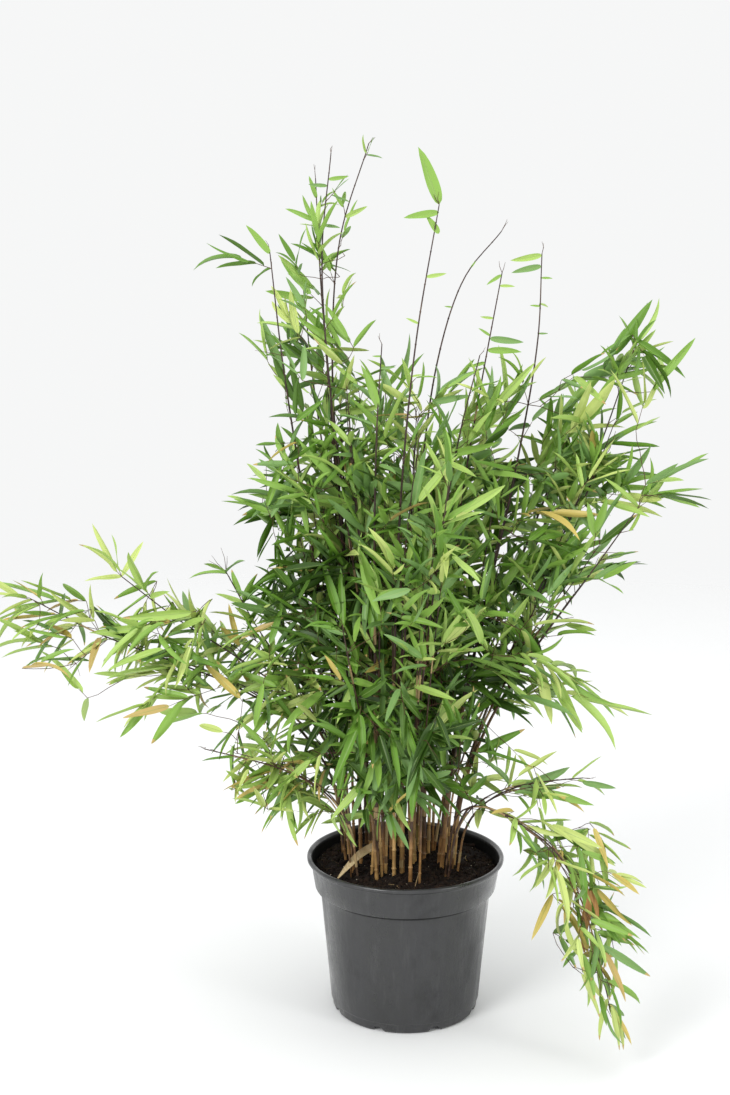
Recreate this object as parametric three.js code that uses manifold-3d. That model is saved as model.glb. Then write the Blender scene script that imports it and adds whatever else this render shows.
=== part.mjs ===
// A clumping bamboo in a round nursery pot: a plastic pot, its soil, the canes that
// rise from the soil and the masses of leaves that the canes carry.
// Millimetres, +Z up, origin at the centre of the pot's flat underside.
import * as THREE from "three";
import { mergeVertices } from "three/addons/utils/BufferGeometryUtils.js";
import Module from "manifold-3d";

const wasm = await Module();
wasm.setup();

// ---------------------------------------------------------------- driving sizes
const GAP = 0.4; // clear air between two solids that touch

const POT = {
  height: 183,
  lipRadius: 115,
  lipHeight: 5,
  bandTopRadius: 111.5,
  bandBottomRadius: 105.5,
  bandHeight: 38,
  bodyTopRadius: 99.5,
  footRadius: 85,
  footBevel: 3,
  wall: 2.4,
  floor: 4,
  drains: 8,
  drainWidth: 12,
  drainHeight: 5,
  drainDepth: 9,
  segments: 24,
};
const SOIL = { top: 174, dip: 3, flatShare: 0.72 };
const CANE = { sides: 5, steps: 6, footRadius: 2.3, tipRadius: 0.9 };
const MASS = { sides: 8, rings: 6, lump: 0.22 };

const root = new THREE.Group();

// ---------------------------------------------------------------- solids and meshes
const solidOf = (geometry) => {
  const bare = geometry.clone();
  bare.deleteAttribute("normal");
  bare.deleteAttribute("uv");
  const merged = mergeVertices(bare, 1e-3);
  return new wasm.Manifold(
    new wasm.Mesh({
      numProp: 3,
      vertProperties: merged.attributes.position.array,
      triVerts: new Uint32Array(merged.index.array),
    }),
  );
};

const geometryOf = (solid) => {
  const made = solid.getMesh();
  const geometry = new THREE.BufferGeometry();
  const position = new THREE.BufferAttribute(made.vertProperties, made.numProp);
  geometry.setAttribute("position", position);
  geometry.setIndex(new THREE.BufferAttribute(made.triVerts, 1));
  return geometry;
};

const largest = (solid) =>
  solid.decompose().reduce((a, b) => (b.volume() > a.volume() ? b : a));

const show = (name, geometry, material) => {
  const mesh = new THREE.Mesh(geometry, material);
  mesh.name = name;
  root.add(mesh);
};

const paint = (color, roughness) =>
  new THREE.MeshStandardMaterial({ color, roughness, metalness: 0 });

const potPlastic = paint(0x1f2022, 0.35);
const pottingSoil = paint(0x1e1410, 0.95);
const caneSkin = paint(0x5a4230, 0.55);
const armSkin = paint(0x4a2f2a, 0.55);
const leafGreen = paint(0x4f8a2c, 0.5);

// ---------------------------------------------------------------- pot and soil
// The pot's outline runs up the outside, over the rolled lip and down the inside.
function potSolid() {
  const p = POT;
  const bandBottom = p.height - p.bandHeight;
  const outline = [
    [0, 0],
    [p.footRadius - p.footBevel, 0],
    [p.footRadius, p.footBevel],
    [p.bodyTopRadius, bandBottom - p.footBevel],
    [p.bandBottomRadius, bandBottom],
    [p.bandTopRadius, p.height - p.lipHeight],
    [p.lipRadius, p.height - p.lipHeight + 1],
    [p.lipRadius, p.height - 1],
    [p.lipRadius - 1, p.height],
    [p.bandTopRadius - p.wall, p.height],
    [p.bandBottomRadius - p.wall, bandBottom + p.wall],
    [p.bodyTopRadius - p.wall, bandBottom - p.footBevel],
    [p.footRadius - p.wall, p.floor],
    [0, p.floor],
  ].map(([r, z]) => new THREE.Vector2(r, z));
  let pot = solidOf(new THREE.LatheGeometry(outline, p.segments).rotateX(Math.PI / 2));
  for (let i = 0; i < p.drains; i++) {
    const angle = ((i + 0.5) / p.drains) * 2 * Math.PI;
    const drain = new THREE.BoxGeometry(2 * p.drainDepth, p.drainWidth, 2 * p.drainHeight)
      .translate(p.footRadius, 0, 0)
      .rotateZ(angle);
    pot = pot.subtract(solidOf(drain));
  }
  return largest(pot);
}

// The soil fills the pot and stands flat round the canes, with a shallow dip at the wall.
function soilSolid() {
  const p = POT;
  const clear = p.wall + GAP;
  const bandBottom = p.height - p.bandHeight;
  const bandRise = (SOIL.top - SOIL.dip - bandBottom) / p.bandHeight;
  const edge = THREE.MathUtils.lerp(p.bandBottomRadius, p.bandTopRadius, bandRise);
  const outline = [
    [0, p.floor + GAP],
    [p.footRadius - clear - 1, p.floor + GAP],
    [p.bodyTopRadius - clear, bandBottom - p.footBevel],
    [p.bandBottomRadius - clear, bandBottom + clear],
    [edge - clear - 1, SOIL.top - SOIL.dip],
    [edge * SOIL.flatShare, SOIL.top],
    [0, SOIL.top],
  ].map(([r, z]) => new THREE.Vector2(r, z));
  return solidOf(new THREE.LatheGeometry(outline, p.segments).rotateX(Math.PI / 2));
}

// ---------------------------------------------------------------- canes
// A cane leaves the soil upright, holds its course for `rise`, and then leans to its
// tip by way of a knee: the point at kneeShare of the way there, moved by `bow`.
const KNEE_SHARE = 0.62;

function caneCurve({ foot, tip, rise, bow = [0, 0, 0] }) {
  const from = new THREE.Vector3(foot[0], foot[1], SOIL.top + GAP);
  const to = new THREE.Vector3(...tip);
  const upright = from.clone().add(new THREE.Vector3(0, 0, rise));
  const knee = from.clone().lerp(to, KNEE_SHARE).add(new THREE.Vector3(...bow));
  return new THREE.CubicBezierCurve3(from, upright, knee, to);
}

// The piece of a curve between two shares of its length.
class PartOf extends THREE.Curve {
  constructor(whole, start, end) {
    super();
    this.whole = whole;
    this.start = start;
    this.end = end;
  }
  getPoint(t, target = new THREE.Vector3()) {
    return this.whole.getPoint(THREE.MathUtils.lerp(this.start, this.end, t), target);
  }
}

// A cylinder bent along a curve, tapering from its foot to its tip.
function limb(curve, footRadius, tipRadius, sides, steps) {
  const geometry = new THREE.CylinderGeometry(tipRadius, footRadius, 1, sides, steps);
  const position = geometry.attributes.position;
  const across = new THREE.Vector3(0, 1, 0);
  const point = new THREE.Vector3();
  for (let i = 0; i < position.count; i++) {
    point.fromBufferAttribute(position, i);
    const share = THREE.MathUtils.clamp(point.y + 0.5, 0, 1);
    const ahead = curve.getTangent(share);
    const side = new THREE.Vector3().crossVectors(across, ahead).normalize();
    const depth = new THREE.Vector3().crossVectors(ahead, side);
    const place = curve.getPoint(share);
    place.addScaledVector(side, point.x).addScaledVector(depth, -point.z);
    position.setXYZ(i, place.x, place.y, place.z);
  }
  return geometry;
}

// The canes that give the crown its outline, each with its foot in the soil and its tip.
const LEADING_CANES = {
  // the tall spire on the left
  spire_right: { foot: [-40, 28], tip: [-43, 10, 992], rise: 260, bow: [-95, 0, 130] },
  spire_middle: { foot: [-24, -22], tip: [-84, -10, 980], rise: 250, bow: [-65, 0, 110] },
  spire_left: { foot: [-52, 2], tip: [-102, 25, 956], rise: 240, bow: [-15, 10, 100] },
  left_edge: { foot: [-66, 26], tip: [-150, -30, 874], rise: 190, bow: [-15, -5, 40] },
  left_inner: { foot: [-45, 52], tip: [-118, 60, 840], rise: 230, bow: [-15, 10, 60] },
  // the slim shoots that stand bare above the crown
  middle_left: { foot: [-34, -48], tip: [-29, -52, 776], rise: 240, bow: [-12, -5, 60] },
  leaf_topped: { foot: [-14, -44], tip: [31, -62, 922], rise: 200, bow: [-38, -20, 20] },
  arching: { foot: [8, 12], tip: [104, 18, 898], rise: 330, bow: [-66, 0, 205] },
  slim_right: { foot: [28, 28], tip: [102, -20, 852], rise: 220, bow: [-10, 0, 40] },
  bare_right: { foot: [42, -16], tip: [149, 14, 874], rise: 180, bow: [52, 0, 95] },
  right_inner: { foot: [22, 6], tip: [77, -46, 764], rise: 240, bow: [-25, -10, 60] },
  // the fan that leans out to the right
  fan_crest: { foot: [54, 4], tip: [250, 0, 764], rise: 160, bow: [5, 0, -20] },
  fan_low: { foot: [56, -10], tip: [252, -50, 598], rise: 170, bow: [-20, 0, 10] },
  front_lean: { foot: [4, -62], tip: [40, -132, 636], rise: 170, bow: [-5, -14, 20] },
  back_lean: { foot: [-8, 66], tip: [-22, 172, 708], rise: 180, bow: [5, 5, 10] },
  back_right: { foot: [16, 52], tip: [66, 128, 656], rise: 170, bow: [-5, 5, 10] },
  fan_back: { foot: [48, 34], tip: [205, 100, 698], rise: 180, bow: [-5, 10, 0] },
};

// Canes that bow right over and reach out sideways.
const ARMS = {
  long_arm: { foot: [-70, 6], tip: [-418, -34, 492], rise: 235, bow: [10, 0, 20] },
  upper_arm: { foot: [-60, -20], tip: [-322, -10, 514], rise: 225, bow: [20, 0, 20] },
  short_arm: { foot: [-74, 34], tip: [-206, 10, 516], rise: 190, bow: [18, 0, -20] },
  lower_arm: { foot: [-56, -44], tip: [-226, -68, 330], rise: 120, bow: [15, 0, 35] },
  side_arm: { foot: [60, -30], tip: [190, -110, 310], rise: 110, bow: [10, -10, 40] },
};
const DROOP = { foot: [48, -50], tip: [214, -166, 82], rise: 150, bow: [25, -35, 190] };
const DROOP_BEND = 0.5; // the share of its length at which it starts to fall

// The rest stand close together in the middle and end where they enter the leaves.
const CORE = { count: 3, footRadius: 40, tipRadius: 120, tipHeight: 648, rise: 220 };
const GOLDEN_ANGLE = Math.PI * (3 - Math.sqrt(5));

function coreCanes() {
  const canes = {};
  for (let i = 0; i < CORE.count; i++) {
    const angle = i * GOLDEN_ANGLE + 2.3;
    const out = Math.sqrt((i + 0.6) / CORE.count);
    const [x, y] = [Math.cos(angle) * out, Math.sin(angle) * out];
    canes["core_" + (i + 1)] = {
      foot: [x * CORE.footRadius - 4, y * CORE.footRadius],
      tip: [x * CORE.tipRadius, y * CORE.tipRadius, CORE.tipHeight],
      rise: CORE.rise,
    };
  }
  return canes;
}

// ---------------------------------------------------------------- masses of leaves
// Each runs from one point to another; half is its half-width across that line and its
// half-depth. The lumps come from a few waves, told apart by the mass's place in the list.
const MASSES = {
  spire_tip: { from: [-100, 0, 808], to: [-86, 4, 916], half: [48, 40] },
  spire_side: { from: [-138, -28, 850], to: [-212, -32, 880], half: [15, 14] },
  topmost_leaf: { from: [32, -62, 913], to: [13, -62, 982], half: [13, 9] },
  arching_tip: { from: [98, 4, 834], to: [162, 14, 880], half: [15, 14] },
  spire_crown: { from: [-118, 8, 684], to: [-106, 10, 834], half: [68, 60] },
  left_flank: { from: [-124, 6, 544], to: [-116, 24, 708], half: [74, 74] },
  left_heart: { from: [-104, -6, 404], to: [-120, -6, 564], half: [74, 74] },
  middle_tip: { from: [-24, -8, 642], to: [-16, -6, 764], half: [46, 44] },
  middle_crown: { from: [-18, -14, 520], to: [-12, -6, 672], half: [66, 70] },
  middle_heart: { from: [-8, 0, 392], to: [-10, 0, 548], half: [78, 76] },
  middle_skirt: { from: [-6, 4, 270], to: [-4, 0, 412], half: [78, 80] },
  front_crown: { from: [22, -92, 412], to: [30, -132, 604], half: [72, 46] },
  front_skirt: { from: [-18, -98, 254], to: [0, -104, 428], half: [80, 44] },
  back_crown: { from: [-36, 96, 448], to: [14, 158, 684], half: [94, 54] },
  back_skirt: { from: [-8, 92, 270], to: [-10, 132, 470], half: [94, 50] },
  right_tip: { from: [64, -14, 648], to: [92, -14, 784], half: [52, 50] },
  right_crown: { from: [76, 26, 508], to: [88, 34, 672], half: [62, 70] },
  right_heart: { from: [84, 0, 360], to: [82, 0, 528], half: [64, 68] },
  fan_tip: { from: [192, -14, 668], to: [292, -12, 784], half: [54, 46] },
  fan_crown: { from: [148, 20, 564], to: [214, 40, 708], half: [62, 64] },
  fan_outer: { from: [200, -44, 532], to: [318, -60, 640], half: [42, 44] },
  fan_heart: { from: [126, -8, 432], to: [188, -14, 588], half: [58, 62] },
  fan_tuft: { from: [112, -52, 426], to: [232, -66, 360], half: [36, 34] },
  side_tuft: { from: [84, -64, 330], to: [186, -92, 276], half: [34, 32] },
  droop_upper: { from: [128, -108, 270], to: [208, -132, 186], half: [32, 28] },
  droop_lower: { from: [196, -134, 208], to: [226, -164, 38], half: [46, 32] },
  arm_root: { from: [-98, -20, 352], to: [-206, -22, 432], half: [50, 48] },
  arm_middle: { from: [-196, -24, 396], to: [-330, -28, 448], half: [56, 38] },
  arm_tip: { from: [-306, -28, 432], to: [-462, -34, 466], half: [44, 30] },
  arm_under_leaves: { from: [-92, -56, 270], to: [-238, -68, 338], half: [40, 32] },
  left_tuft: { from: [-92, -40, 292], to: [-166, -60, 198], half: [32, 28] },
};

const wave = (angle, share, phase) =>
  0.5 * Math.sin(3 * angle + 7 * share + phase) +
  0.3 * Math.sin(5 * angle - 9 * share + 2.3 * phase) +
  0.2 * Math.sin(2 * angle + 15 * share - 1.7 * phase);

// A ball drawn out along the mass's line, wider above the middle and lumpy all over.
function massSolid({ from, to, half }, phase, grow) {
  const geometry = new THREE.SphereGeometry(1, MASS.sides, MASS.rings);
  const start = new THREE.Vector3(...from);
  const end = new THREE.Vector3(...to);
  const along = end.clone().sub(start).normalize();
  const side = new THREE.Vector3().crossVectors(new THREE.Vector3(0, 1, 0), along).normalize();
  const depth = new THREE.Vector3().crossVectors(along, side);
  const middle = start.clone().lerp(end, 0.5);
  const reach = start.distanceTo(end) / 2 + grow;
  const position = geometry.attributes.position;
  const point = new THREE.Vector3();
  for (let i = 0; i < position.count; i++) {
    point.fromBufferAttribute(position, i);
    const around = Math.hypot(point.x, point.z);
    const angle = around < 1e-6 ? 0 : Math.atan2(point.z, point.x);
    const lump = around < 1e-6 ? 1 : 1 + MASS.lump * wave(angle, point.y, phase);
    const place = middle.clone().addScaledVector(along, point.y * reach);
    place.addScaledVector(side, point.x * (half[0] * lump + grow));
    place.addScaledVector(depth, -point.z * (half[1] * lump + grow));
    position.setXYZ(i, place.x, place.y, place.z);
  }
  return solidOf(geometry);
}

// The masses in turn, each cut clear of those before it.
function massSolids() {
  const solids = {};
  let taken = null;
  Object.entries(MASSES).forEach(([name, mass], i) => {
    const phase = 1 + 1.9 * i;
    const whole = massSolid(mass, phase, 0);
    solids[name] = largest(taken ? whole.subtract(taken) : whole);
    const room = massSolid(mass, phase, GAP);
    taken = taken ? taken.add(room) : room;
  });
  return solids;
}

// How far up its line a core cane gets before it meets a mass.
function bareShare(curve, leaves) {
  const probe = 3;
  const tries = 60;
  for (let i = 1; i <= tries; i++) {
    const place = curve.getPoint(i / tries);
    const ball = solidOf(new THREE.OctahedronGeometry(probe).translate(...place));
    if (leaves.intersect(ball).volume() > 0) return (i - 1) / tries;
  }
  return 1;
}

// ---------------------------------------------------------------- the plant
show("pot", geometryOf(potSolid()), potPlastic);
show("soil", geometryOf(soilSolid()), pottingSoil);

const masses = massSolids();
let crown = null;
for (const solid of Object.values(masses)) crown = crown ? crown.add(solid) : solid;

let standing = null; // room for every whole cane, which the masses and later canes leave free
const { sides, steps, footRadius, tipRadius } = CANE;
const roomSides = 3;
const roomRadius = (radius) => (radius + GAP) / Math.cos(Math.PI / roomSides);

function standCane(name, curve, lower, upper, skin, pieces = steps) {
  const solid = solidOf(limb(curve, lower, upper, sides, pieces));
  const free = standing ? largest(solid.subtract(standing)) : solid;
  show(name, geometryOf(free), skin);
  const room = solidOf(
    limb(curve, roomRadius(lower), roomRadius(upper), roomSides, pieces),
  );
  standing = standing ? standing.add(room) : room;
}

for (const [name, cane] of Object.entries(LEADING_CANES)) {
  standCane(`cane_${name}`, caneCurve(cane), footRadius, tipRadius, caneSkin);
}
for (const [name, cane] of Object.entries(ARMS)) {
  standCane(`cane_${name}`, caneCurve(cane), footRadius, tipRadius, armSkin);
}

const droop = caneCurve(DROOP);
const bendRadius = THREE.MathUtils.lerp(footRadius, tipRadius, DROOP_BEND);
const bendGap = GAP / droop.getLength();
const rising = new PartOf(droop, 0, DROOP_BEND - bendGap);
const falling = new PartOf(droop, DROOP_BEND + bendGap, 1);
standCane("cane_droop_rising", rising, footRadius, bendRadius, armSkin, steps / 2);
standCane("cane_droop_falling", falling, bendRadius, tipRadius, armSkin, steps / 2);

for (const [name, cane] of Object.entries(coreCanes())) {
  const curve = caneCurve(cane);
  const bare = new PartOf(curve, 0, bareShare(curve, crown));
  const solid = solidOf(limb(bare, footRadius, footRadius * 0.85, sides, 2));
  show(`cane_${name}`, geometryOf(largest(solid.subtract(standing))), caneSkin);
}

for (const [name, solid] of Object.entries(masses)) {
  show(`leaves_${name}`, geometryOf(largest(solid.subtract(standing))), leafGreen);
}

export default root;
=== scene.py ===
"""A clumping bamboo in a black nursery pot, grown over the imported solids.

The pot, the soil and the canes come first. The leafy growth follows one seeded rule: each
mass of leaves is a space to fill, a twig reaches every spray in it from the nearest cane or
twig, and the spray carries a few narrow leaves set alternately.
"""

import math
import random
from collections import namedtuple

import bmesh
import bpy
import numpy as np
from mathutils import Matrix, Vector, noise
from mathutils.bvhtree import BVHTree


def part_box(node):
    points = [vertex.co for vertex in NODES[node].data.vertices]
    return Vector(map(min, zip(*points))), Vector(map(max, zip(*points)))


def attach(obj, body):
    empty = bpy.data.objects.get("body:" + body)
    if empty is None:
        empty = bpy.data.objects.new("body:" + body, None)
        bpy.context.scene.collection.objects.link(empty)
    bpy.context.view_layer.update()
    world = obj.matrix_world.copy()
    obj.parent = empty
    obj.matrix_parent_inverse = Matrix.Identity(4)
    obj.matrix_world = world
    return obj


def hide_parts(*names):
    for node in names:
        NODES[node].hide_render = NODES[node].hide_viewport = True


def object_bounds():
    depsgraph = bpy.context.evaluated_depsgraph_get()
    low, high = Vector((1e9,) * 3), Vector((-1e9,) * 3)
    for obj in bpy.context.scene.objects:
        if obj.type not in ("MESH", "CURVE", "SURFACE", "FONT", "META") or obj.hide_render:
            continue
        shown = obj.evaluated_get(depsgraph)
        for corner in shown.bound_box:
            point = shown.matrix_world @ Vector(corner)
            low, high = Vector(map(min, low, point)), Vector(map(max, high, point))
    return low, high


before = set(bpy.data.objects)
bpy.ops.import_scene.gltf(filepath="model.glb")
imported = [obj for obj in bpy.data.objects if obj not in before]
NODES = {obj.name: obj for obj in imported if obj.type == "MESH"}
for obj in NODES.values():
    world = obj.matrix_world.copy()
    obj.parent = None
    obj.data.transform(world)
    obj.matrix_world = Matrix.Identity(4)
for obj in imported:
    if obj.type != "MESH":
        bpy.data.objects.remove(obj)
CAD_BOX = [list(corner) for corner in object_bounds()]
MM = 0.001
UP = Vector((0, 0, 1))


def level(angle):
    """A level direction, as an angle round from +X."""
    return Vector((math.cos(angle), math.sin(angle), 0))


def outward(place):
    """The level way out from the middle of the clump, not yet made to length 1."""
    return Vector((place.x + 0.01, place.y, 0))


def shaken(rng, rise=0.0):
    """A random vector with x and y within 1 of nought and z within rise."""
    x, y = rng.uniform(-1, 1), rng.uniform(-1, 1)
    return Vector((x, y, rng.uniform(-rise, rise) if rise else 0))


def unit(vector, least, otherwise=(1, 0, 0)):
    """The vector made to length 1, or another one when it is too short to go by."""
    return vector.normalized() if vector.length > least else Vector(otherwise)


def turned(along, side):
    """The turn that lays a pattern's X along one direction and its Y along another."""
    return Matrix((along, side, along.cross(side))).transposed().to_quaternion()


def new_mesh(name, vertices, faces=(), edges=()):
    mesh = bpy.data.meshes.new(name)
    mesh.from_pydata(vertices, edges, faces)
    return mesh


def bands(first, rings, sides):
    """The faces between closed rings of points that are numbered on from first."""
    faces = []
    for ring in range(rings - 1):
        for k in range(sides):
            a, b = first + ring * sides + k, first + ring * sides + (k + 1) % sides
            faces.append((a, a + sides, b + sides, b))
    return faces


# ------------------------------------------------------------------ camera, light, floor
CAMERA_PLACE = (-0.0472, -1.7021, 0.8213)
CAMERA_TILT_DOWN = 9.19
LENS = 50
SENSOR_WIDTH = 36
HAZE_WHITE = (0.925, 0.93, 0.93)
LIT_PLACE = (0, 0, 0.5)  # where every light aims


def set_camera():
    data = bpy.data.cameras.new("camera")
    data.lens = LENS
    data.sensor_width = SENSOR_WIDTH
    camera = bpy.data.objects.new("camera", data)
    camera.location = CAMERA_PLACE
    camera.rotation_euler = (math.radians(90 - CAMERA_TILT_DOWN), 0, 0)
    bpy.context.scene.collection.objects.link(camera)
    bpy.context.scene.camera = camera


def soft_box(name, place, size, watts):
    data = bpy.data.lights.new(name, "AREA")
    data.shape = "RECTANGLE"
    data.size, data.size_y = size
    data.energy = watts
    box = bpy.data.objects.new(name, data)
    box.location = place
    box.rotation_euler = (Vector(LIT_PLACE) - Vector(place)).to_track_quat("-Z", "Y").to_euler()
    bpy.context.scene.collection.objects.link(box)


def set_studio():
    world = bpy.data.worlds.new("studio")
    world.use_nodes = True
    sky = world.node_tree.nodes["Background"]
    sky.inputs["Color"].default_value = (*HAZE_WHITE, 1)
    sky.inputs["Strength"].default_value = 1.0
    scene = bpy.context.scene
    scene.world = world
    scene.view_settings.view_transform = "Standard"
    scene.view_settings.look = "None"
    soft_box("light_front_left", (-1.9, -2.3, 2.3), (1.2, 1.6), 66)
    soft_box("light_front_right", (2.3, -1.6, 1.3), (0.7, 1.8), 22)
    soft_box("light_top", (0.1, 0.1, 2.7), (1.6, 1.6), 16)


# ------------------------------------------------------------------ materials
def feed(tree, socket, value):
    """Links a socket to another one, or gives it a plain value."""
    if isinstance(value, bpy.types.NodeSocket):
        tree.links.new(value, socket)
    else:
        socket.default_value = value


def add_node(tree, kind, inputs, settings):
    node = tree.nodes.new(kind)
    for label, value in settings.items():
        setattr(node, label, value)
    for label, value in (inputs or {}).items():
        feed(tree, node.inputs[label], value)
    return node


def principled(name, colour, roughness, specular=0.5, **more):
    """A new material with one Principled shader, its plain values set on its own sockets."""
    material = bpy.data.materials.new(name)
    material.use_nodes = True
    shader = material.node_tree.nodes["Principled BSDF"]
    shader.inputs["Base Color"].default_value = (*colour, 1)
    shader.inputs["Roughness"].default_value = roughness
    shader.inputs["Specular IOR Level"].default_value = specular
    for label, value in more.items():
        shader.inputs[label.replace("_", " ")].default_value = value
    return material


class Shading:
    """Adds nodes to a material, each with its settings and what feeds its inputs."""

    def __init__(self, material):
        self.tree = material.node_tree
        self.shader = self.tree.nodes["Principled BSDF"]

    def add(self, kind, inputs=None, **settings):
        return add_node(self.tree, "ShaderNode" + kind, inputs, settings)

    def where(self):
        return self.add("TexCoord").outputs["Object"]

    def height(self):
        return self.add("SeparateXYZ", {"Vector": self.where()}).outputs["Z"]

    def place(self, stretch=(1, 1, 1)):
        return self.add("Mapping", {"Vector": self.where(), "Scale": stretch}).outputs["Vector"]

    def span(self, value, low, high):
        """A share that goes from 0 to 1 as the value goes from low to high."""
        return self.add("MapRange", {"Value": value, "From Min": low, "From Max": high}).outputs[0]

    def noise(self, where, scale, detail=4.0, roughness=0.55):
        values = {"Vector": where, "Scale": scale, "Detail": detail, "Roughness": roughness}
        return self.add("TexNoise", values).outputs["Fac"]

    def ramp(self, value, stops):
        node = self.add("ValToRGB", {"Fac": value})
        band = node.color_ramp
        while len(band.elements) < len(stops):
            band.elements.new(0.5)
        for element, (place, colour) in zip(band.elements, stops):
            element.position = place
            grey = isinstance(colour, (int, float))
            element.color = (colour, colour, colour, 1) if grey else (*colour, 1)
        return node.outputs["Color"]

    def blend(self, share, a, b, kind="MIX"):
        node = self.add("Mix", data_type="RGBA", blend_type=kind)
        for index, value in ((0, share), (6, a), (7, b)):
            feed(self.tree, node.inputs[index], (*value, 1) if isinstance(value, tuple) else value)
        return node.outputs[2]

    def drive(self, label, value):
        self.tree.links.new(value, self.shader.inputs[label])

    def bump(self, height, strength, distance):
        values = {"Height": height, "Strength": strength, "Distance": distance}
        self.drive("Normal", self.add("Bump", values).outputs["Normal"])


def pot_plastic():
    """Black recycled plastic: part dull, part glossy, with scuffs, stains and runs of dirt, a dull
    line of painted shade under the band and painted shade on the inner wall.
    """
    material = principled("pot_plastic", (0.02, 0.02, 0.022), 0.3, 0.38, Coat_Roughness=0.14)
    s = Shading(material)
    cloudy = s.noise(s.place((1, 1, 0.7)), 12, 7, 0.62)
    runs = s.noise(s.place((38, 38, 4)), 1, 6, 0.65)
    grain = s.noise(s.place(), 260, 4, 0.7)
    base = s.ramp(cloudy, [(0.38, (0.007, 0.0072, 0.0078)), (0.6, (0.028, 0.0285, 0.0305))])
    scuffs = s.ramp(s.noise(s.place((70, 70, 9)), 1, 7, 0.72), [(0.54, 0), (0.74, 0.5)])
    worn = s.blend(scuffs, base, (0.06, 0.06, 0.062))
    stains = s.ramp(s.noise(s.place((1, 1, 0.6)), 30, 8, 0.7), [(0.52, 0), (0.7, 0.7)])
    spots = s.ramp(s.noise(s.place(), 120, 5, 0.6), [(0.66, 0), (0.72, 0.9)])
    stained = s.blend(s.blend(0.5, stains, spots, "ADD"), worn, (0.003, 0.003, 0.0034))
    # Painted shade: a thin dark, dull line in the hollow under the band, where shade falls.
    under = s.span(s.height(), 0.13, 0.16)
    line = s.ramp(under, [(0.37, 0), (0.43, 0.75), (0.47, 0.75), (0.53, 0)])
    # Painted shade: faces turned in towards the axis, the pot's inner wall, are darkened to near
    # black.
    normal = s.add("NewGeometry").outputs["Normal"]
    facing = s.add("VectorMath", {0: normal, 1: s.where()}, operation="DOT_PRODUCT")
    inside = s.ramp(s.span(facing.outputs["Value"], -0.1, 0.0), [(0.4, 0.85), (0.9, 0)])
    # The stains with the painted shade line under the band, then the inner wall darkened as painted
    # shade.
    stains_and_band_shade = s.blend(line, stained, (0.004, 0.004, 0.004))
    s.drive("Base Color", s.blend(inside, stains_and_band_shade, (0.004, 0.0035, 0.003)))
    line = s.blend(1.0, line, inside, "LIGHTEN")
    gloss = s.ramp(s.blend(0.45, cloudy, runs), [(0.38, 0.16), (0.6, 0.6)])
    s.drive("Roughness", s.blend(line, gloss, (0.95, 0.95, 0.95)))
    s.drive("Coat Weight", s.blend(line, s.ramp(cloudy, [(0.4, 0.6), (0.62, 0.1)]), (0, 0, 0)))
    s.drive("Specular IOR Level", s.ramp(line, [(0, 0.52), (1, 0.05)]))
    waves = s.noise(s.place((11, 11, 3)), 1, 3)
    s.bump(s.blend(0.18, s.blend(0.3, waves, runs), grain), 0.65, 0.0035)
    return material


def compost(name, dark, light):
    material = principled(name, dark, 0.95, 0.25)
    s = Shading(material)
    tone = s.ramp(s.noise(s.place(), 160, 8, 0.7), [(0.36, dark), (0.72, light)])
    s.drive("Base Color", s.blend(s.noise(s.place(), 22, 4), tone, dark))
    s.bump(s.noise(s.place(), 620, 6, 0.75), 0.6, 0.0016)
    return material


DARK_TOP = (0.04, 0.016, 0.015)


def cane_skin(name, foot, middle, top, turn):
    """One colour at the foot, another from the height turn on, and dark in the upper canes."""
    material = principled(name, middle, 0.42, 0.45)
    s = Shading(material)
    wander = s.noise(s.place((1, 1, 0.35)), 34, 3)
    lifted = s.add("Math", {0: s.span(s.height(), 0.15, 0.62), 1: wander}, operation="ADD")
    moved = s.add("Math", {0: lifted.outputs[0], 1: 0.5}, operation="SUBTRACT")
    stops = [(0.0, foot), (turn * 0.5, foot), (turn, middle), (turn + 0.3, top), (1.0, top)]
    by_height = s.ramp(moved.outputs[0], stops)
    fibres = s.noise(s.place((600, 600, 14)), 1, 5, 0.6)
    shade = s.ramp(s.noise(s.place(), 70, 4), [(0.35, (0.5, 0.46, 0.42)), (0.62, (1, 1, 1))])
    streaked = s.blend(s.ramp(fibres, [(0.45, 0), (0.8, 0.4)]), by_height, (0.24, 0.16, 0.075))
    s.drive("Base Color", s.blend(1.0, streaked, shade, "MULTIPLY"))
    s.drive("Roughness", s.ramp(fibres, [(0.3, 0.34), (0.7, 0.55)]))
    s.bump(fibres, 0.3, 0.0004)
    return material


def husk(name, pale, dark):
    material = principled(name, pale, 0.72, 0.3)
    s = Shading(material)
    fibres = s.noise(s.place((420, 420, 18)), 1, 6, 0.65)
    s.drive("Base Color", s.ramp(fibres, [(0.3, dark), (0.7, pale)]))
    s.bump(fibres, 0.4, 0.0005)
    return material


# ------------------------------------------------------------------ geometry node trees
CARRIED = ("turn", "size", "pattern", "thick")  # attributes that only the trees use


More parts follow.
